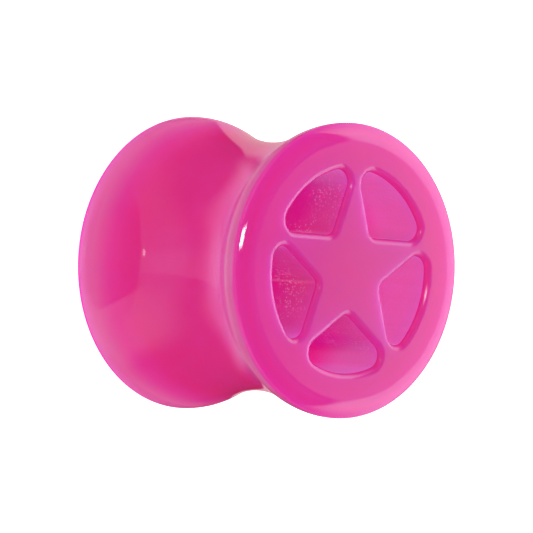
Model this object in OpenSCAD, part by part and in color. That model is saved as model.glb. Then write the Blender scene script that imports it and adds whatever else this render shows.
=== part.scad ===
// Double-flared saddle plug for a stretched earlobe, with a star pierced through it.
// One solid of tinted clear acrylic, in millimetres. It stands on its back face with
// the star on top: its own axis is Z, and the ground is at z = 0.

/* [Spool] */
// Gauge of the plug: diameter at the waist, where the earlobe sits
gauge_d = 12.7; // [11.6:0.1:18]
// How far each flare stands out past the waist
flare_rise = 1.15; // [0.8:0.05:1.6]
// Length from face to face
plug_length = 13; // [10:0.1:18]
// Radius that turns the saddle over into each flare
flare_round = 2.4; // [1:0.1:3]
// Small radius on the widest edge of each flare
rim_round = 0.25; // [0.15:0.05:0.5]
// Wide soft radius between that edge and the flat face
shoulder_round = 1.3; // [0.8:0.05:1.6]

/* [Star] */
// Wall left between the openings and the waist
outer_wall = 1.15; // [0.8:0.05:1.6]
// Distance from the centre to the notches between the star's points
notch_r = 2.15; // [1.8:0.05:2.5]
// Corner radius where an opening's straight sides meet its outer arc
corner_round = 0.65; // [0.4:0.05:0.75]
// Corner radius at the star's notches
notch_round = 0.5; // [0.3:0.05:0.7]
// Turn of the star about the plug's axis, counted from a point that looks towards -Y
star_turn = 0; // [-36:1:36]

/* [Colour] */
// Tint of the acrylic
tint = "#DE3A8D"; // [#DE3A8D:pink, #2F7FD0:blue, #C9D3D8:clear]

/* [Hidden] */
$fn = 128;

star_points = 5;
// Half of the angle inside a notch of a star that is drawn with straight strokes
notch_half = 90 - 180 / star_points;
// Angle on the flare's edge where its small radius hands over to the shoulder
rim_share = 45;
// How far a cutter reaches past the surface that it opens
overshoot = 0.1;
// How far a rounding stands proud of its neighbour, so that the two cross cleanly
proud = 0.0001;

waist_r = gauge_d / 2;
flare_r = waist_r + flare_rise;
half_length = plug_length / 2;

// Centres and end points of the flare's arcs, as [distance from the axis, height]
shoulder_step = (shoulder_round - rim_round) * along(rim_share);
rim_centre = [flare_r - rim_round, half_length - shoulder_round + shoulder_step[1]];
shoulder_centre = rim_centre - shoulder_step;
rim_top = rim_centre + rim_round * along(rim_share);
rim_z = rim_centre[1];
saddle_r = (rim_z * rim_z + flare_rise * flare_rise) / (2 * flare_rise) - flare_round;
saddle_centre = [waist_r + saddle_r, 0];
flare_centre = [flare_r - flare_round, rim_z];
flare_turn = atan2(rim_z, saddle_centre[0] - flare_centre[0]);
flare_end = flare_centre + flare_round * along(-flare_turn);

// Arcs of one opening, which lies along +X between two of the star's points
star_r = waist_r - outer_wall;
corner_x = star_r - corner_round;
corner_turn = notch_half - asin((corner_round + notch_r * sin(notch_half)) / corner_x);
corner_centre = corner_x * along(corner_turn);
notch_centre = [notch_r + notch_round / sin(notch_half), 0];
arc_end = star_r * along(corner_turn);
// Direction that looks squarely out of the opening through its upper side
side_turn = 90 + notch_half;
side_start = notch_centre + notch_round * along(side_turn);
side_end = corner_centre + corner_round * along(side_turn);

function along(angle) = [cos(angle), sin(angle)];

function flip(point) = [point[0], -point[1]];

// Pie slice of a disc, between two angles less than half a turn apart
module slice(centre, radius, from, to) {
  intersection() {
    translate(centre) circle(radius);
    polygon([
      centre,
      centre + 2 * radius * along(from),
      centre + 2 * radius * along((from + to) / 2),
      centre + 2 * radius * along(to)
    ]);
  }
}

// The three roundings of one flare, each turned about the axis
module flare_roundings() {
  rotate_extrude() slice(shoulder_centre, shoulder_round + proud, rim_share, 100);
  rotate_extrude() translate(rim_centre) circle(rim_round + 2 * proud);
  rotate_extrude() slice(flare_centre, flare_round + proud, -90, 0);
}

module spool() {
  upper_half = [flare_end, [flare_r, rim_z], rim_top, [shoulder_centre[0], half_length], [0, half_length]];
  lower_half = [for (i = [len(upper_half) - 1 : -1 : 0]) flip(upper_half[i])];
  difference() {
    union() {
      rotate_extrude() polygon(concat(lower_half, upper_half));
      flare_roundings();
      mirror([0, 0, 1]) flare_roundings();
    }
    rotate_extrude() translate(saddle_centre) circle(saddle_r);
  }
}

// Raises a plan into a cutter that runs right through the plug
module through() {
  translate([0, 0, -half_length - overshoot])
    linear_extrude(plug_length + 2 * overshoot) children();
}

// One opening, cut right through
module opening() {
  through() polygon([side_start, side_end, arc_end, flip(arc_end), flip(side_end), flip(side_start)]);
  through() translate(notch_centre) circle(notch_round + proud);
  through() translate(corner_centre) circle(corner_round + proud);
  through() translate(flip(corner_centre)) circle(corner_round + proud);
  through() intersection() {
    circle(star_r);
    polygon([arc_end, 2 * arc_end, 2 * flip(arc_end), flip(arc_end)]);
  }
}

module plug_body() {
  color(tint)
    translate([0, 0, half_length])
      difference() {
        spool();
        for (i = [0 : star_points - 1])
          rotate([0, 0, star_turn - 90 + (i + 0.5) * 360 / star_points]) opening();
      }
}

plug_body();
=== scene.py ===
"""Dresses a double-flared saddle ear plug of translucent pink acrylic and lights it.

The plug stands on its back face with the star on top. One closed, finely divided mesh
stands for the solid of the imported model: the turned spool, the star that is milled right
through it, and the small rounding on the mouth of each opening. The picture is taken
along a slanting line, with the camera turned on its side, so that the plug's axis lies
level in the frame.
"""

import logging
import math
from dataclasses import dataclass, field
from enum import Enum

import bpy
import numpy as np
from mathutils import Matrix, Vector
from mathutils.geometry import delaunay_2d_cdt

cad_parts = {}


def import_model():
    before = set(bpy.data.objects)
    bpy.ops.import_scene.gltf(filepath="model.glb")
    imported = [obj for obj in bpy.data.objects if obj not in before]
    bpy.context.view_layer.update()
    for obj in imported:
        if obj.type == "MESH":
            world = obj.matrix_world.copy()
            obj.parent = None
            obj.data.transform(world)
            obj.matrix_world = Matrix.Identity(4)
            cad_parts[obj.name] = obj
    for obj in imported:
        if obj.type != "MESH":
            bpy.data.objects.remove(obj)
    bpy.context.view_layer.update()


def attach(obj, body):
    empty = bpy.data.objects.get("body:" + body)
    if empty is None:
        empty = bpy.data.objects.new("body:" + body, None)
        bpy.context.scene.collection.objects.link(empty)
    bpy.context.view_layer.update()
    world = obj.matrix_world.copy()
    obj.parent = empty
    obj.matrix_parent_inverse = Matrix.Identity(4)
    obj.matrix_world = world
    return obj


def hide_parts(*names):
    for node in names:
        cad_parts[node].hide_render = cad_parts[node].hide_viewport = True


LOG = logging.getLogger("ear_plug")
MM = 0.001
# Height of the plug's middle above the table that it stands on
MIDDLE_MM = 6.5
# How far red, green and blue wander in the dyed acrylic, as shares of the furthest reach
COLOUR_REACH = (1.0, 0.35, 0.55)


def linear(code: str) -> tuple[float, float, float, float]:
    """Turns an sRGB hex colour into linear values.

    Args:
        code: Colour such as "#DE3A8D".

    Returns:
        Linear red, green and blue, with an alpha of one.
    """
    shares = [int(code[i : i + 2], 16) / 255 for i in (1, 3, 5)]
    parts = [c / 12.92 if c <= 0.04045 else ((c + 0.055) / 1.055) ** 2.4 for c in shares]
    return (parts[0], parts[1], parts[2], 1.0)


def per_metre(size_mm: float) -> float:
    """Gives the texture scale that repeats a pattern once for each size_mm."""
    return 1.0 / (size_mm * MM)


def add_node(
    tree: bpy.types.NodeTree, kind: str, settings: dict | None = None, inputs: dict | None = None
) -> bpy.types.Node:
    """Adds one node with its settings, values and links.

    Args:
        tree: Node tree to add to.
        kind: Blender's name for the node.
        settings: Attributes of the node.
        inputs: For each input's name or number, a value, or an output socket to link from.

    Returns:
        The new node.
    """
    node = tree.nodes.new(kind)
    for name, value in (settings or {}).items():
        setattr(node, name, value)
    for name, value in (inputs or {}).items():
        if isinstance(value, bpy.types.NodeSocket):
            tree.links.new(value, node.inputs[name])
        else:
            node.inputs[name].default_value = value
    return node


def plug_place(
    tree: bpy.types.NodeTree,
) -> tuple[bpy.types.NodeSocket, bpy.types.NodeSocket, bpy.types.NodeSocket]:
    """Adds the nodes that tell where on the plug a point lies.

    Args:
        tree: Node tree to add to.

    Returns:
        Sockets for the place, its distance from the axis, and its height off the middle.
    """
    where = add_node(tree, "ShaderNodeTexCoord").outputs["Object"]
    flat = add_node(
        tree,
        "ShaderNodeVectorMath",
        {"operation": "MULTIPLY"},
        {0: where, 1: (1.0, 1.0, 0.0)},
    )
    out = add_node(tree, "ShaderNodeVectorMath", {"operation": "LENGTH"}, {0: flat.outputs[0]})
    height = add_node(tree, "ShaderNodeSeparateXYZ", {}, {0: where}).outputs["Z"]
    level = add_node(
        tree, "ShaderNodeMath", {"operation": "SUBTRACT"}, {0: height, 1: MIDDLE_MM * MM}
    )
    apart = add_node(tree, "ShaderNodeMath", {"operation": "ABSOLUTE"}, {0: level.outputs[0]})
    return where, out.outputs["Value"], apart.outputs[0]


def along(degrees: np.ndarray | float) -> np.ndarray:
    """Gives the unit vectors at angles counted from the first axis."""
    turn = np.radians(degrees)
    return np.stack([np.cos(turn), np.sin(turn)], axis=-1)


class Skin(Enum):
    """Which surface of the acrylic a face of the mesh belongs to."""

    TURNED = 0
    MILLED = 1


@dataclass
class Shell:
    """Points, normals and faces of one mesh while it is put together, in millimetres."""

    points: list[np.ndarray] = field(default_factory=list)
    normals: list[np.ndarray] = field(default_factory=list)
    faces: list[tuple[int, ...]] = field(default_factory=list)
    skins: list[Skin] = field(default_factory=list)
    count: int = 0

    def add_row(self, points: np.ndarray, normals: np.ndarray) -> np.ndarray:
        """Adds a row of points with the true normals of the surface.

        Args:
            points: Places in millimetres, one to a line.
            normals: Unit normals, one to a line.

        Returns:
            The numbers that the points have in the shell.
        """
        self.points.append(points)
        self.normals.append(normals)
        start, self.count = self.count, self.count + len(points)
        return np.arange(start, self.count)

    def bridge(self, lower: np.ndarray, upper: np.ndarray, skin: Skin) -> None:
        """Joins two closed rows of equal length with four-sided faces.

        Args:
            lower: Point numbers of one row.
            upper: Point numbers of the other, so that the faces look outwards.
            skin: Surface that the faces belong to.
        """
        for a, b, c, d in zip(lower, np.roll(lower, -1), np.roll(upper, -1), upper):
            self.faces.append((int(a), int(b), int(c), int(d)))
            self.skins.append(skin)

    def mesh(self, name: str) -> bpy.types.Mesh:
        """Makes the Blender mesh, in metres, with its true normals.

        Args:
            name: Name of the mesh.

        Returns:
            The mesh, with a material number on each face.
        """
        mesh = bpy.data.meshes.new(name)
        mesh.from_pydata((np.vstack(self.points) * MM).tolist(), [], self.faces)
        mesh.polygons.foreach_set("material_index", [skin.value for skin in self.skins])
        mesh.polygons.foreach_set("use_smooth", [True] * len(self.faces))
        mesh.update()
        mesh.normals_split_custom_set_from_vertices(np.vstack(self.normals).tolist())
        return mesh


@dataclass(frozen=True)
class Spool:
    """The turned outside of the plug: two flares and the saddle between them, in millimetres."""

    gauge: float = 12.7
    flare_rise: float = 1.15
    length: float = 13.0
    flare_round: float = 2.4
    rim_round: float = 0.25
    shoulder_round: float = 1.3
    rim_share: float = 45.0
    around: int = 240
    saddle_steps: int = 21
    flare_steps: int = 9
    rim_steps: int = 7
    shoulder_steps: int = 13

    @property
    def half(self) -> float:
        """Half of the length."""
        return self.length / 2

    @property
    def flare_r(self) -> float:
        """Radius of the widest circle of each flare."""
        return self.gauge / 2 + self.flare_rise

    def _rim_centre(self) -> np.ndarray:
        """Finds the centre of the small arc on the widest edge.

        Returns:
            Distance from the axis, and height above the middle.
        """
        step = (self.shoulder_round - self.rim_round) * along(self.rim_share)
        height = self.half - self.shoulder_round + step[1]
        return np.array([self.flare_r - self.rim_round, height])

    def _shoulder_centre(self) -> np.ndarray:
        """Centre of the soft shoulder's arc."""
        return self._rim_centre() - (self.shoulder_round - self.rim_round) * along(self.rim_share)

    def profile(self) -> tuple[np.ndarray, np.ndarray]:
        """Gives the outline from the back face to the star face.

        Returns:
            Points as distance from the axis and height above the middle, and their normals.
        """
        rim, shoulder = self._rim_centre(), self._shoulder_centre()
        rise = self.flare_rise
        saddle_r = (rim[1] ** 2 + rise**2) / (2 * rise) - self.flare_round
        saddle = np.array([self.gauge / 2 + saddle_r, 0.0])
        flare = np.array([self.flare_r - self.flare_round, rim[1]])
        turn = math.degrees(math.atan2(rim[1], saddle[0] - flare[0]))
        arcs = [
            (saddle, -saddle_r, np.linspace(180, 180 - turn, self.saddle_steps)),
            (flare, self.flare_round, np.linspace(-turn, 0, self.flare_steps)),
            (rim, self.rim_round, np.linspace(0, self.rim_share, self.rim_steps)),
            (shoulder, self.shoulder_round, np.linspace(self.rim_share, 90, self.shoulder_steps)),
        ]
        points, normals = [], []
        for number, (centre, radius, angles) in enumerate(arcs):
            turned = along(angles if number == 0 else angles[1:])
            points.append(centre + abs(radius) * turned)
            normals.append(turned * math.copysign(1, radius))
        upper, normal = np.vstack(points), np.vstack(normals)
        flip = np.array([1, -1])
        return np.vstack([upper[:0:-1] * flip, upper]), np.vstack([normal[:0:-1] * flip, normal])

    def build(self, shell: Shell) -> tuple[np.ndarray, np.ndarray]:
        """Adds the turned surface to the shell.

        Args:
            shell: Shell to add to.

        Returns:
            Point numbers of the back face's edge and of the star face's edge.
        """
        spokes = along(np.arange(self.around) * 360 / self.around)
        rows = []
        for (reach, height), (out, up) in zip(*self.profile()):
            flat = np.full((self.around, 1), height + self.half)
            rise = np.full((self.around, 1), up)
            places, normals = np.hstack([spokes * reach, flat]), np.hstack([spokes * out, rise])
            rows.append(shell.add_row(places, normals))
        for lower, upper in zip(rows, rows[1:]):
            shell.bridge(lower, upper, Skin.TURNED)
        return rows[0], rows[-1]


@dataclass(frozen=True)
class StarPiercing:
    """Five openings that leave a plain star, each milled right through, in millimetres."""

    star_points: int = 5
    star_r: float = 5.2
    notch_r: float = 2.15
    corner_round: float = 0.65
    notch_round: float = 0.5
    mouth_round: float = 0.3
    first_point: float = -90.0
    mouth_steps: int = 8
    arc_steps: int = 31
    corner_steps: int = 21
    side_steps: int = 12
    notch_steps: int = 15
    wall_steps: int = 14

    def outline(self) -> tuple[np.ndarray, np.ndarray]:
        """Gives the outline of one opening that lies along the first axis.

        Returns:
            Points round the opening, and the direction at each that leads into the acrylic.
        """
        half = 90 - 180 / self.star_points
        side_turn = 90 + half
        corner_x = self.star_r - self.corner_round
        reach = self.corner_round + self.notch_r * math.sin(math.radians(half))
        corner_turn = half - math.degrees(math.asin(reach / corner_x))
        corner = corner_x * along(corner_turn)
        notch = np.array([self.notch_r + self.notch_round / math.sin(math.radians(half)), 0])
        flip = np.array([1, -1])
        points, leads = [], []

        def arc(centre: np.ndarray, radius: float, angles: np.ndarray) -> None:
            """Adds one arc of the outline."""
            points.append(centre + radius * along(angles))
            leads.append(along(angles))

        arc(np.zeros(2), self.star_r, np.linspace(-corner_turn, corner_turn, self.arc_steps)[1:])
        arc(corner, self.corner_round, np.linspace(corner_turn, side_turn, self.corner_steps)[1:])
        start = notch + self.notch_round * along(side_turn)
        end = corner + self.corner_round * along(side_turn)
        steps = np.linspace(0, 1, self.side_steps)[1:, None]
        points.append(end + (start - end) * steps)
        leads.append(np.tile(along(side_turn), (len(steps), 1)))
        turned = np.linspace(side_turn, 360 - side_turn, self.notch_steps)
        arc(notch, self.notch_round, turned[1:])
        points.append((start + (end - start) * steps) * flip)
        leads.append(np.tile(along(side_turn) * flip, (len(steps), 1)))
        turned = np.linspace(360 - side_turn, 360 - corner_turn, self.corner_steps)
        arc(corner * flip, self.corner_round, turned[1:])
        return np.vstack(points), np.vstack(leads)

    def turns(self) -> list[float]:
        """Gives the direction of each opening's middle, in degrees."""
        step = 360 / self.star_points
        return [self.first_point + (i + 0.5) * step for i in range(self.star_points)]

    def build(self, shell: Shell, length: float) -> tuple[list[np.ndarray], list[np.ndarray]]:
        """Adds the walls and the rounded mouths of the openings.

        Args:
            shell: Shell to add to.
            length: Length of the plug.

        Returns:
            Point numbers round each mouth on the back face, and on the star face.
        """
        plan, plan_leads = self.outline()
        backs, fronts = [], []
        arc = np.linspace(0, 90, self.mouth_steps + 1)
        wall = np.linspace(self.mouth_round, length - self.mouth_round, self.wall_steps)
        for turn in self.turns():
            c, s = along(turn)
            spin = np.array([[c, s], [-s, c]])
            points, leads = plan @ spin, plan_leads @ spin
            rows = []
            for a, b in along(arc):
                flat = points + leads * self.mouth_round * (1 - b)
                level = self.mouth_round * (1 - a)
                rows.append(self._level(shell, flat, level, -leads * b, -a))
            for level in wall[1:-1]:
                rows.append(self._level(shell, points, level, -leads, 0.0))
            for a, b in along(arc[::-1]):
                flat = points + leads * self.mouth_round * (1 - b)
                level = length - self.mouth_round * (1 - a)
                rows.append(self._level(shell, flat, level, -leads * b, a))
            for number, (lower, upper) in enumerate(zip(rows, rows[1:])):
                mouth = number < self.mouth_steps or number >= len(rows) - 1 - self.mouth_steps
                shell.bridge(upper, lower, Skin.TURNED if mouth else Skin.MILLED)
            backs.append(rows[0])
            fronts.append(rows[-1])
        return backs, fronts

    @staticmethod
    def _level(
        shell: Shell, flat: np.ndarray, level: float, lean: np.ndarray, up: float
    ) -> np.ndarray:
        """Adds one row round an opening at a given height.

        Args:
            shell: Shell to add to.
            flat: Places seen from above.
            level: Height of the row.
            lean: Level part of the normals.
            up: Upright part of the normals.

        Returns:
            Point numbers of the row.
        """
        ones = np.ones((len(flat), 1))
        return shell.add_row(np.hstack([flat, ones * level]), np.hstack([lean, ones * up]))


@dataclass
class PlugBody:
    """The whole plug: a turned spool with a star pierced through it."""

    spool: Spool = field(default_factory=Spool)
    star: StarPiercing = field(default_factory=StarPiercing)
    same_point_mm: float = 1e-7

    def _flat(self, shell: Shell, edge: np.ndarray, mouths: list[np.ndarray], up: bool) -> None:
        """Fills a flat face between its edge and the mouths of the openings.

        Args:
            shell: Shell to add to.
            edge: Point numbers of the face's edge.
            mouths: Point numbers round each mouth.
            up: Whether the face looks up.
        """
        points = np.vstack(shell.points)
        numbers = np.concatenate([edge, *mouths])
        sides, start = [], 0
        for ring in (edge, *mouths):
            ids = np.arange(start, start + len(ring))
            sides += list(zip(ids.tolist(), np.roll(ids, -1).tolist()))
            start += len(ring)
        flat = points[numbers, :2]
        where, _, triangles, origins, _, _ = delaunay_2d_cdt(
            [Vector(p) for p in flat.tolist()], sides, [], 0, self.same_point_mm, True
        )
        back = [numbers[o[0]] for o in origins]
        for triangle in triangles:
            middle = np.mean([where[i][:] for i in triangle], axis=0)
            if not any(self._holds(points[m, :2], middle) for m in mouths):
                corners = [int(back[i]) for i in triangle]
                a, b, c = (points[i, :2] for i in corners)
                turned = (b[0] - a[0]) * (c[1] - a[1]) - (b[1] - a[1]) * (c[0] - a[0]) > 0
                shell.faces.append(tuple(corners if turned == up else corners[::-1]))
                shell.skins.append(Skin.TURNED)

    @staticmethod
    def _holds(ring: np.ndarray, point: np.ndarray) -> bool:
        """Says whether a round-cornered convex ring holds a point.

        Args:
            ring: Points of the ring, in order.
            point: Point to look for.

        Returns:
            True if the point is inside.
        """
        step, way = np.roll(ring, -1, axis=0) - ring, point - ring
        cross = step[:, 0] * way[:, 1] - step[:, 1] * way[:, 0]
        return bool((cross > 0).all() or (cross < 0).all())

    def build(self) -> bpy.types.Object:
        """Makes the plug as one closed mesh.

        Returns:
            The object, which is linked to the scene.
        """
        shell = Shell()
        back_edge, front_edge = self.spool.build(shell)
        backs, fronts = self.star.build(shell, self.spool.length)
        self._flat(shell, back_edge, backs, up=False)
        self._flat(shell, front_edge, fronts, up=True)
        plug = bpy.data.objects.new("acrylic_plug", shell.mesh("acrylic_plug"))
        bpy.context.scene.collection.objects.link(plug)
        return plug

    def dress(self, plug: bpy.types.Object) -> None:
        """Gives each surface of the plug its finish.

        Args:
            plug: The object that build made.
        """
        plug.data.materials.append(PolishedAcrylic().material())
        plug.data.materials.append(MilledAcrylic().material())


@dataclass(frozen=True)
class PolishedAcrylic:
    """Cast acrylic, dyed pink and cloudy, turned on a lathe and buffed to a gloss.

    The dye is strong in green and weak in red, so red light wanders through the whole
    piece and shaded places stay bright and only grow deeper in colour. Light and shade
    are also painted into the colour: deeper and redder in the waist for painted shade,
    paler on the flat faces and the flares, and milky on the thin rims of the flares for
    painted light that shines through them. The spans of those places are heights from
    the middle, or distances from the axis, in millimetres.
    """

    name: str = "pink_cast_acrylic_polished"
    dye: str = "#FC3498"
    # Painted shade: the waist is coloured deeper and redder
    waist_shade_colour: str = "#FF3288"
    # Painted light: the flat faces are coloured paler
    face_light_colour: str = "#EE3AA0"
    # Painted light that shines through the flares: they are coloured paler
    flare_light_colour: str = "#E03CA4"
    # Painted glow of light that shines through the thin rims: they are coloured milky
    rim_glow_colour: str = "#D6689C"
    cloud_dye: str = "#FF409E"
    roughness: float = 0.03
    ior: float = 1.49
    reach_mm: float = 8.0
    cloud_mm: float = 5.0
    cloud_share: float = 0.3
    cloud_range: tuple[float, float] = (0.4, 0.7)
    cloud_detail: float = 3.0
    cloud_rough: float = 0.6
    waist_mm: tuple[float, float] = (5.0, 2.0)
    ends_mm: tuple[float, float] = (6.4, 6.5)
    inner_mm: tuple[float, float] = (6.0, 5.75)
    flare_mm: tuple[float, float] = (6.6, 7.25)
    rim_mm: tuple[float, float] = (6.95, 7.55)

    def material(self) -> bpy.types.Material:
        """Makes the material.

        Returns:
            A new material.
        """
        material = bpy.data.materials.new(self.name)
        material.use_nodes = True
        tree = material.node_tree
        tree.nodes.clear()
        where, out, apart = plug_place(tree)
        waist, ends, inner, flare, rim = (
            add_node(
                tree,
                "ShaderNodeMapRange",
                {"interpolation_type": "SMOOTHSTEP"},
                {
                    "Value": value,
                    "From Min": min(span) * MM,
                    "From Max": max(span) * MM,
                    "To Min": float(span[0] > span[1]),
                    "To Max": float(span[0] < span[1]),
                },
            ).outputs[0]
            for value, span in (
                (apart, self.waist_mm),
                (apart, self.ends_mm),
                (apart, self.inner_mm),
                (out, self.flare_mm),
                (out, self.rim_mm),
            )
        )
        under, edge = (
            add_node(tree, "ShaderNodeMath", {"operation": "MULTIPLY"}, {0: inner, 1: share})
            for share in (flare, rim)
        )
        clouds = add_node(
            tree,
            "ShaderNodeTexNoise",
            {},
            {
                "Vector": where,
                "Scale": per_metre(self.cloud_mm),
                "Detail": self.cloud_detail,
                "Roughness": self.cloud_rough,
            },
        )
        cloudy = add_node(
            tree,
            "ShaderNodeMapRange",
            {},
            {
                "Value": clouds.outputs[0],
                "From Min": self.cloud_range[0],
                "From Max": self.cloud_range[1],
                "To Max": self.cloud_share,
            },
        )
        colour: bpy.types.NodeSocket | tuple[float, float, float, float] = linear(self.dye)
        # Paints shade into the waist, and light onto the faces, the flares and their thin rims; the
        # clouds are the acrylic's own uneven tone
        for share, other in (
            (waist, self.waist_shade_colour),
            (ends, self.face_light_colour),
            (under.outputs[0], self.flare_light_colour),
            (cloudy.outputs[0], self.cloud_dye),
            (edge.outputs[0], self.rim_glow_colour),
        ):
            colour = add_node(
                tree,
                "ShaderNodeMixRGB",
                {},
                {"Fac": share, "Color1": colour, "Color2": linear(other)},
            ).outputs[0]
        shader = add_node(
            tree,
            "ShaderNodeBsdfPrincipled",
            {"subsurface_method": "RANDOM_WALK"},
            {
                "Base Color": colour,
                "Roughness": self.roughness,
                "IOR": self.ior,
                "Subsurface Weight": 1.0,
                "Subsurface Radius": COLOUR_REACH,
                "Subsurface Scale": self.reach_mm * MM,
            },
        )
        add_node(tree, "ShaderNodeOutputMaterial", {}, {"Surface": shader.outputs[0]})
        return material


@dataclass(frozen=True)
class MilledAcrylic:
    """The same acrylic as a milling cutter leaves it, on the walls of the openings.

    The cutter leaves fine lines that run through the plug, with pits and crumbs between
    them, so the walls look satin and grainy. Light that is led through the translucent
    body leaves at these walls, most where the wall behind is thin. A weak painted glow
    of the walls stands in for it. The cutter's lines and the pale crumbs vary that glow,
    and a painted highlight runs along the rounded corner of each notch.
    """

    name: str = "pink_cast_acrylic_milled"
    dye: str = "#FF3498"
    roughness: float = 0.3
    ior: float = 1.49
    reach_mm: float = 8.0
    # The finest real marks would be smaller than a pixel of the render, so the lines, the
    # pits and the crumbs are all drawn as coarse as they need to show.
    pit_mm: float = 0.18
    line_mm: float = 0.3
    line_length: float = 12.0
    line_detail: float = 2.0
    line_weight: float = 0.8
    line_shade: tuple[float, float] = (0.3, 0.85)
    bump_strength: float = 0.5
    bump_mm: float = 0.02
    # Real pale crumbs, drawn only as brighter, paler spots of the painted glow
    crumb_mm: float = 0.15
    crumb_share: float = 0.28
    crumb_patch_mm: float = 2.0
    crumb_range: tuple[float, float] = (0.46, 0.6)
    crumb_glow: float = 1.5
    crumb_glow_colour: str = "#C8B4E4"
    # Painted highlight along the rounded corner of each notch: its span of distance from the axis,
    # and its strength
    notch_glint_mm: tuple[float, float] = (2.27, 2.275)
    notch_glint_strength: float = 0.4
    # Strengths of the painted glow by a thick wall, by a thin wall and deep inside, and its colours
    # near the mouths and deep inside
    glow_thick: float = 0.09
    glow_thin: float = 0.27
    glow_deep: float = 0.17
    mouth_glow_colour: str = "#5491F4"
    deep_glow_colour: str = "#C02CD2"
    thin_mm: tuple[float, float] = (3.8, 5.1)
    depth_mm: tuple[float, float] = (3.0, 6.3)
    thin_reach_mm: float = 2.5

    def material(self) -> bpy.types.Material:
        """Makes the material.

        Returns:
            A new material.
        """
        material = bpy.data.materials.new(self.name)
        material.use_nodes = True
        tree = material.node_tree
        tree.nodes.clear()
        where, out, apart = plug_place(tree)
        thin = add_node(
            tree,
            "ShaderNodeMapRange",
            {"interpolation_type": "SMOOTHSTEP"},
            {
                "Value": out,
                "From Min": self.thin_mm[0] * MM,
                "From Max": self.thin_mm[1] * MM,
            },
        ).outputs[0]
        glow, glow_colour = self._led_light(tree, thin, apart)
        lines, normal = self._tool_marks(tree, where)
        # The cutter's lines, the crumbs and the painted notch highlight vary the strength and
        # colour of the painted glow
        crumbs_and_glint = self._crumbs_and_glint(tree, where, out, thin)
        striped = add_node(
            tree,
            "ShaderNodeMath",
            {"operation": "MULTIPLY_ADD"},
            {0: lines, 1: self.line_shade[0], 2: self.line_shade[1]},
        )
        bright = add_node(
            tree, "ShaderNodeMath", {"operation": "ADD"}, {0: striped.outputs[0], 1: crumbs_and_glint}
        )
        strength = add_node(
            tree, "ShaderNodeMath", {"operation": "MULTIPLY"}, {0: glow, 1: bright.outputs[0]}
        )
        pale = add_node(
            tree,
            "ShaderNodeMixRGB",
            {"use_clamp": True},
            {"Fac": crumbs_and_glint, "Color1": glow_colour, "Color2": linear(self.crumb_glow_colour)},
        )
        shader = add_node(
            tree,
            "ShaderNodeBsdfPrincipled",
            {"subsurface_method": "RANDOM_WALK"},
            {
                "Base Color": linear(self.dye),
                "Roughness": self.roughness,
                "IOR": self.ior,
                "Subsurface Weight": 1.0,
                "Subsurface Radius": COLOUR_REACH,
                "Subsurface Scale": self.reach_mm * MM,
                "Normal": normal,
                "Emission Color": pale.outputs[0],
                "Emission Strength": strength.outputs[0],
            },
        )
        add_node(tree, "ShaderNodeOutputMaterial", {}, {"Surface": shader.outputs[0]})
        return material

    def _led_light(
        self, tree: bpy.types.NodeTree, thin: bpy.types.NodeSocket, apart: bpy.types.NodeSocket
    ) -> tuple[bpy.types.NodeSocket, bpy.types.NodeSocket]:
        """Adds the light that the body leads to the walls: blue near the mouths, violet inside.

        Args:
            tree: Node tree to add to.
            thin: How thin the acrylic behind the wall is, from 0 to 1.
            apart: Height off the plug's middle.

        Returns:
            Sockets for the light's strength and for its colour.
        """
        seen = add_node(
            tree,
            "ShaderNodeMath",
            {"operation": "MULTIPLY_ADD"},
            {0: thin, 1: self.thin_reach_mm * MM, 2: apart},
        )
        near = add_node(
            tree,
            "ShaderNodeMapRange",
            {"interpolation_type": "SMOOTHSTEP"},
            {
                "Value": seen.outputs[0],
                "From Min": self.depth_mm[0] * MM,
                "From Max": self.depth_mm[1] * MM,
            },
        )
        mouth = add_node(
            tree,
            "ShaderNodeMapRange",
            {},
            {"Value": thin, "To Min": self.glow_thick, "To Max": self.glow_thin},
        )
        glow = add_node(
            tree,
            "ShaderNodeMapRange",
            {},
            {"Value": near.outputs[0], "To Min": self.glow_deep, "To Max": mouth.outputs[0]},
        )
        colour = add_node(
            tree,
            "ShaderNodeMixRGB",
            {},
            {
                "Fac": near.outputs[0],
                "Color1": linear(self.deep_glow_colour),
                "Color2": linear(self.mouth_glow_colour),
            },
        )
        return glow.outputs[0], colour.outputs[0]

    def _tool_marks(
        self, tree: bpy.types.NodeTree, where: bpy.types.NodeSocket
    ) -> tuple[bpy.types.NodeSocket, bpy.types.NodeSocket]:
        """Adds the cutter's lines, with the pits between them.

        Args:
            tree: Node tree to add to.
            where: Place on the plug.

        Returns:
            Sockets for the lines and for the normal that lines and pits bend.
        """
        drawn = add_node(
            tree,
            "ShaderNodeVectorMath",
            {"operation": "MULTIPLY"},
            {0: where, 1: (1.0, 1.0, 1.0 / self.line_length)},
        )
        lines = add_node(
            tree,
            "ShaderNodeTexNoise",
            {},
            {
                "Vector": drawn.outputs[0],
                "Scale": per_metre(self.line_mm),
                "Detail": self.line_detail,
            },
        )
        pits = add_node(
            tree,
            "ShaderNodeTexVoronoi",
            {"feature": "F1"},
            {"Vector": where, "Scale": per_metre(self.pit_mm)},
        )
        rough = add_node(
            tree,
            "ShaderNodeMath",
            {"operation": "MULTIPLY_ADD"},
            {0: lines.outputs[0], 1: self.line_weight, 2: pits.outputs["Distance"]},
        )
        bump = add_node(
            tree,
            "ShaderNodeBump",
            {},
            {
                "Strength": self.bump_strength,
                "Distance": self.bump_mm * MM,
                "Height": rough.outputs[0],
            },
        )
        return lines.outputs[0], bump.outputs[0]

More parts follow.
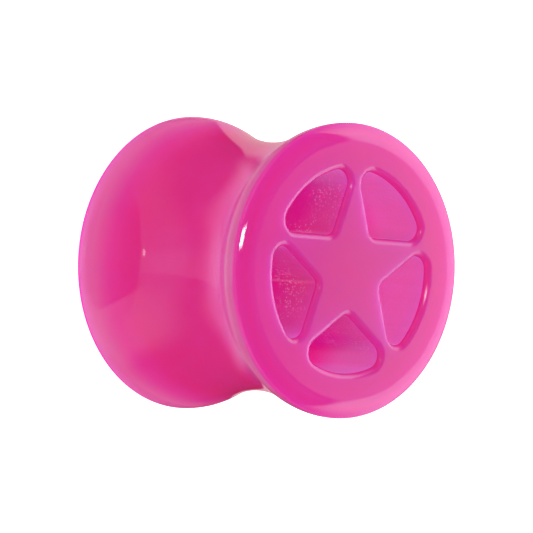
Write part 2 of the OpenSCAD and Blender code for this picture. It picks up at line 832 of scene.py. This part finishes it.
    def _crumbs_and_glint(
        self,
        tree: bpy.types.NodeTree,
        where: bpy.types.NodeSocket,
        out: bpy.types.NodeSocket,
        thin: bpy.types.NodeSocket,
    ) -> bpy.types.NodeSocket:
        """Adds the pale crumbs that stick in patches, and a painted highlight along each notch.

        Args:
            tree: Node tree to add to.
            where: Place on the plug.
            out: Distance from the plug's axis.
            thin: How thin the acrylic behind the wall is, from 0 to 1.

        Returns:
            The socket that says how much the crumbs and the painted notch highlight brighten and
            pale the painted glow.
        """
        crumbs = add_node(
            tree,
            "ShaderNodeTexVoronoi",
            {"feature": "F1"},
            {"Vector": where, "Scale": per_metre(self.crumb_mm)},
        )
        crumb = add_node(
            tree,
            "ShaderNodeMath",
            {"operation": "LESS_THAN"},
            {0: crumbs.outputs["Distance"], 1: self.crumb_share},
        )
        patches = add_node(
            tree,
            "ShaderNodeTexNoise",
            {},
            {"Vector": where, "Scale": per_metre(self.crumb_patch_mm)},
        )
        dusty = add_node(
            tree,
            "ShaderNodeMapRange",
            {},
            {
                "Value": patches.outputs[0],
                "From Min": self.crumb_range[0],
                "From Max": self.crumb_range[1],
                "To Max": self.crumb_glow,
            },
        )
        thick = add_node(tree, "ShaderNodeMath", {"operation": "SUBTRACT"}, {0: 1.0, 1: thin})
        dust: bpy.types.NodeSocket = crumb.outputs[0]
        for share in (dusty, thick):
            dust = add_node(
                tree, "ShaderNodeMath", {"operation": "MULTIPLY"}, {0: dust, 1: share.outputs[0]}
            ).outputs[0]
        # Painted highlight along the rounded corner of each notch
        notch_glint = add_node(
            tree,
            "ShaderNodeMapRange",
            {},
            {
                "Value": out,
                "From Min": self.notch_glint_mm[0] * MM,
                "From Max": self.notch_glint_mm[1] * MM,
                "To Min": self.notch_glint_strength,
                "To Max": 0.0,
            },
        )
        crumbs_and_glint = add_node(
            tree, "ShaderNodeMath", {"operation": "ADD"}, {0: dust, 1: notch_glint.outputs[0]}
        )
        return crumbs_and_glint.outputs[0]


@dataclass(frozen=True)
class Viewpoint:
    """Where the picture is taken from. Angles are in degrees and lengths in millimetres."""

    azimuth: float = 19.0
    elevation: float = 48.48
    roll: float = 93.01
    distance: float = 587.6
    lens: float = 778.2
    sensor: float = 36.0
    aim: tuple[float, float, float] = (0.0, 0.0, MIDDLE_MM)
    clip_mm: tuple[float, float] = (10.0, 5000.0)

    def axes(self) -> Matrix:
        """Gives the picture's own axes.

        Returns:
            Its right, its up, and the way back to the camera, as columns.
        """
        a, e, r = (math.radians(d) for d in (self.azimuth, self.elevation, self.roll))
        back = Vector((math.sin(a) * math.cos(e), -math.cos(a) * math.cos(e), math.sin(e)))
        level = Vector((math.cos(a), math.sin(a), 0.0))
        rise = back.cross(level)
        right = level * math.cos(r) + rise * math.sin(r)
        return Matrix((right, back.cross(right), back)).transposed()

    def direction(self, side: float, height: float) -> Vector:
        """Gives a direction as the picture sees it.

        Args:
            side: Degrees to the right of the camera, seen from the plug.
            height: Degrees above the camera.

        Returns:
            A unit vector away from the plug.
        """
        s, h = math.radians(side), math.radians(height)
        seen = Vector((math.sin(s) * math.cos(h), math.sin(h), math.cos(s) * math.cos(h)))
        return self.axes() @ seen

    def camera(self) -> bpy.types.Object:
        """Makes the scene's camera.

        Returns:
            The camera object.
        """
        data = bpy.data.cameras.new("camera")
        data.lens, data.sensor_width = self.lens, self.sensor
        data.clip_start, data.clip_end = (end * MM for end in self.clip_mm)
        camera = bpy.data.objects.new("camera", data)
        axes = self.axes()
        place = Vector(self.aim) * MM + axes.col[2] * self.distance * MM
        camera.matrix_world = Matrix.Translation(place) @ axes.to_4x4()
        bpy.context.scene.collection.objects.link(camera)
        bpy.context.scene.camera = camera
        return camera


@dataclass(frozen=True)
class Lamp:
    """One soft lamp for the dull surfaces, placed as the picture sees it.

    It stands side degrees to the right of the camera and height degrees above it.
    """

    name: str
    side: float
    height: float
    width_mm: float
    tall_mm: float
    watts: float
    far_mm: float = 450.0


@dataclass(frozen=True)
class Panel:
    """One white panel of the tent, as a mirror on the plug would show it.

    Its middle is side degrees to the right of the camera and height degrees above it, and
    roll turns it about that middle. Each edge fades out over its own number of degrees.
    """

    name: str
    side: float
    height: float
    half_side: float
    half_height: float
    strength: float
    fades: tuple[float, float, float, float] = (2.0, 2.0, 2.0, 2.0)
    roll: float = 0.0


@dataclass(frozen=True)
class Studio:
    """The white tent round the plug, its lamps, the soft light of the room and the lit table.

    The panels show only as reflections, each where the polished plug mirrors one.
    """

    view: Viewpoint
    room: float = 0.36
    room_colour: str = "#FF3C6E"
    soft: float = 1.11
    front_shade: float = 0.48
    shade_span: tuple[float, float] = (-0.2, 0.8)
    daylight: str = "#EEFFFF"
    tent_colour: str = "#F2FFFC"
    floor_glow: float = 1.1
    floor_colour: str = "#ECECEC"
    floor_roughness: float = 0.6
    table_r_mm: float = 620.0
    table_around: int = 96
    table_rows: int = 12
    table_middle: float = 0.02
    panels: tuple[Panel, ...] = (
        Panel("front_dim", 5.0, 0.0, 80.0, 70.0, 0.14, (10.0, 10.0, 40.0, 40.0)),
        Panel("softbox", 5.0, 14.0, 9.0, 7.0, 28.0, (3.0, 3.0, 4.0, 4.0)),
        Panel("side_spot", -80.0, 8.0, 1.2, 3.0, 5.0, (1.0, 1.0, 2.0, 2.0)),
        Panel("right_wall", 131.2, 0.0, 48.8, 75.0, 2.8, (2.5, 90.0, 50.0, 50.0)),
        Panel("left_wall", -96.0, 0.0, 18.0, 60.0, 0.35, (20.0, 0.4, 40.0, 40.0)),
        Panel("left_strip", -111.0, 5.2, 33.0, 10.8, 0.26, (15.0, 0.4, 1.5, 14.0)),
        Panel("left_back", -141.0, 4.0, 27.0, 29.0, 0.41, (12.0, 20.0, 12.0, 12.0)),
        Panel("left_slit", -129.0, 3.0, 7.0, 20.0, 0.18, (1.0, 6.0, 14.0, 14.0)),
        Panel("left_low", -91.6, -41.6, 30.0, 25.0, 0.8, (40.0, 8.0, 20.0, 1.5), -54.5),
        Panel("left_high", -60.0, 62.0, 40.0, 30.0, 0.3, (25.0, 10.0, 20.0, 25.0)),
        Panel("left_near", -50.0, 5.0, 20.0, 55.0, 0.65, (22.0, 6.0, 20.0, 20.0)),
        Panel("behind", 180.0, 9.0, 15.0, 17.0, 0.42, (6.0, 6.0, 1.5, 1.5)),
        Panel("high_wall", -120.0, 78.0, 70.0, 18.0, 0.42, (20.0, 20.0, 20.0, 8.0)),
        Panel("low_wall", -120.0, -78.0, 70.0, 18.0, 0.6, (20.0, 20.0, 8.0, 20.0)),
    )
    lamps: tuple[Lamp, ...] = (
        Lamp("front_lamp", 5.0, 10.0, 240.0, 240.0, 0.12),
        Lamp("right_lamp", 100.0, 10.0, 240.0, 240.0, 0.4),
        Lamp("left_lamp", -90.0, 0.0, 240.0, 240.0, 0.5),
    )

    def surroundings(self) -> None:
        """Makes the world's light: even for dull surfaces, with the panels for shiny ones."""
        world = bpy.data.worlds.new("white_tent")
        world.use_nodes = True
        bpy.context.scene.world = world
        tree = world.node_tree
        tree.nodes.clear()
        way = add_node(tree, "ShaderNodeTexCoord").outputs["Generated"]
        total: bpy.types.NodeSocket | float = 0.0
        for panel in self.panels:
            lit = self._lit(tree, way, panel)
            added = add_node(tree, "ShaderNodeMath", {"operation": "ADD"}, {0: total, 1: lit})
            total = added.outputs[0]
        mirrored = add_node(tree, "ShaderNodeLightPath").outputs["Is Glossy Ray"]
        ahead = add_node(
            tree,
            "ShaderNodeVectorMath",
            {"operation": "DOT_PRODUCT"},
            {0: way, 1: tuple(self.view.axes().col[2])},
        )
        shaded = add_node(
            tree,
            "ShaderNodeMapRange",
            {"interpolation_type": "SMOOTHSTEP"},
            {
                "Value": ahead.outputs["Value"],
                "From Min": self.shade_span[0],
                "From Max": self.shade_span[1],
                "To Min": self.soft,
                "To Max": self.soft * (1.0 - self.front_shade),
            },
        )
        dull = add_node(tree, "ShaderNodeMath", {"operation": "SUBTRACT"}, {0: 1.0, 1: mirrored})
        lights = [
            add_node(
                tree,
                "ShaderNodeBackground",
                {},
                {
                    "Color": linear(colour),
                    "Strength": add_node(
                        tree, "ShaderNodeMath", {"operation": "MULTIPLY"}, {0: seen, 1: strength}
                    ).outputs[0],
                },
            )
            for colour, seen, strength in (
                (self.daylight, dull.outputs[0], shaded.outputs[0]),
                (self.tent_colour, mirrored, total),
                (self.room_colour, mirrored, self.room),
            )
        ]
        whole = lights[0].outputs[0]
        for light in lights[1:]:
            added = add_node(tree, "ShaderNodeAddShader", {}, {0: whole, 1: light.outputs[0]})
            whole = added.outputs[0]
        add_node(tree, "ShaderNodeOutputWorld", {}, {"Surface": whole})

    def _lit(
        self, tree: bpy.types.NodeTree, way: bpy.types.NodeSocket, panel: Panel
    ) -> bpy.types.NodeSocket:
        """Adds one panel's light to the tree.

        Args:
            tree: Node tree to add to.
            way: Direction that the light comes from.
            panel: The panel.

        Returns:
            The socket that holds the panel's light in that direction.
        """
        out = self.view.direction(panel.side, panel.height)
        across = self.view.axes().col[1].cross(out).normalized()
        rise = out.cross(across)
        turn = math.radians(panel.roll)
        axes = (
            across * math.cos(turn) + rise * math.sin(turn),
            rise * math.cos(turn) - across * math.sin(turn),
            out,
        )
        x, y, z = (
            add_node(
                tree, "ShaderNodeVectorMath", {"operation": "DOT_PRODUCT"}, {0: way, 1: tuple(axis)}
            ).outputs["Value"]
            for axis in axes
        )
        side = add_node(tree, "ShaderNodeMath", {"operation": "ARCTAN2"}, {0: x, 1: z})
        height = add_node(tree, "ShaderNodeMath", {"operation": "ARCSINE"}, {0: y})
        left, right, low, high = panel.fades
        lit: bpy.types.NodeSocket | float = panel.strength
        for angle, edge, fade in (
            (side, -panel.half_side, left),
            (side, panel.half_side, -right),
            (height, -panel.half_height, low),
            (height, panel.half_height, -high),
        ):
            start, end = sorted((math.radians(edge), math.radians(edge + fade)))
            share = add_node(
                tree,
                "ShaderNodeMapRange",
                {"interpolation_type": "SMOOTHSTEP"},
                {
                    "Value": angle.outputs[0],
                    "From Min": start,
                    "From Max": end,
                    "To Min": 0.0 if fade > 0 else 1.0,
                    "To Max": 1.0 if fade > 0 else 0.0,
                },
            )
            faded = add_node(
                tree, "ShaderNodeMath", {"operation": "MULTIPLY"}, {0: lit, 1: share.outputs[0]}
            )
            lit = faded.outputs[0]
        return lit

    def light(self, lamp: Lamp) -> bpy.types.Object:
        """Places one lamp, aimed at the plug.

        Args:
            lamp: The lamp.

        Returns:
            The light object.
        """
        data = bpy.data.lights.new(lamp.name, "AREA")
        data.shape, data.size, data.size_y = "RECTANGLE", lamp.width_mm * MM, lamp.tall_mm * MM
        data.energy = lamp.watts
        data.color = linear(self.daylight)[:3]
        out = self.view.direction(lamp.side, lamp.height)
        up = self.view.axes().col[1]
        across = up.cross(out).normalized()
        turned = Matrix((across, out.cross(across), out)).transposed().to_4x4()
        place = Vector(self.view.aim) * MM + out * lamp.far_mm * MM
        light = bpy.data.objects.new(lamp.name, data)
        light.matrix_world = Matrix.Translation(place) @ turned
        light.visible_camera = False
        light.visible_glossy = False
        bpy.context.scene.collection.objects.link(light)
        return light

    def table(self) -> bpy.types.Object:
        """Makes the pale table that the plug stands on.

        Returns:
            The object, which isn't part of the plug.
        """
        shell, around = Shell(), self.table_around
        spokes = along(np.arange(around) * 360 / around)
        rows = []
        for share in np.linspace(1.0, self.table_middle, self.table_rows):
            flat = np.hstack([spokes * self.table_r_mm * share, np.zeros((around, 1))])
            rows.append(shell.add_row(flat, np.tile([0.0, 0.0, 1.0], (around, 1))))
        for outer, inner in zip(rows, rows[1:]):
            shell.bridge(outer, inner, Skin.TURNED)
        shell.faces.append(tuple(int(i) for i in rows[-1]))
        shell.skins.append(Skin.TURNED)
        table = bpy.data.objects.new("table", shell.mesh("table"))
        bpy.context.scene.collection.objects.link(table)
        table.data.materials.append(self._pale())
        table.visible_glossy = table.visible_diffuse = table.visible_shadow = False
        return table

    def _pale(self) -> bpy.types.Material:
        """Makes the frosted white acrylic of a table that is lit from below.

        Returns:
            A new material.
        """
        material = bpy.data.materials.new("frosted_white_table")
        material.use_nodes = True
        shader = material.node_tree.nodes["Principled BSDF"]
        shader.inputs["Base Color"].default_value = linear(self.floor_colour)
        shader.inputs["Roughness"].default_value = self.floor_roughness
        shader.inputs["Emission Color"].default_value = (1.0, 1.0, 1.0, 1.0)
        shader.inputs["Emission Strength"].default_value = self.floor_glow
        return material


def main() -> None:
    """Builds the plug, its studio and its camera."""
    logging.basicConfig(level=logging.INFO, format="%(name)s: %(message)s")
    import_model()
    view = Viewpoint()
    view.camera()
    body = PlugBody()
    plug = body.build()
    body.dress(plug)
    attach(plug, "root")
    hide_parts("plug_body")
    LOG.info("%s: %d faces", plug.name, len(plug.data.polygons))
    studio = Studio(view)
    studio.surroundings()
    for lamp in studio.lamps:
        studio.light(lamp)
        LOG.info("%s placed", lamp.name)
    studio.table()
    bpy.context.scene.view_settings.view_transform = "Standard"


if __name__ == "__main__":
    main()
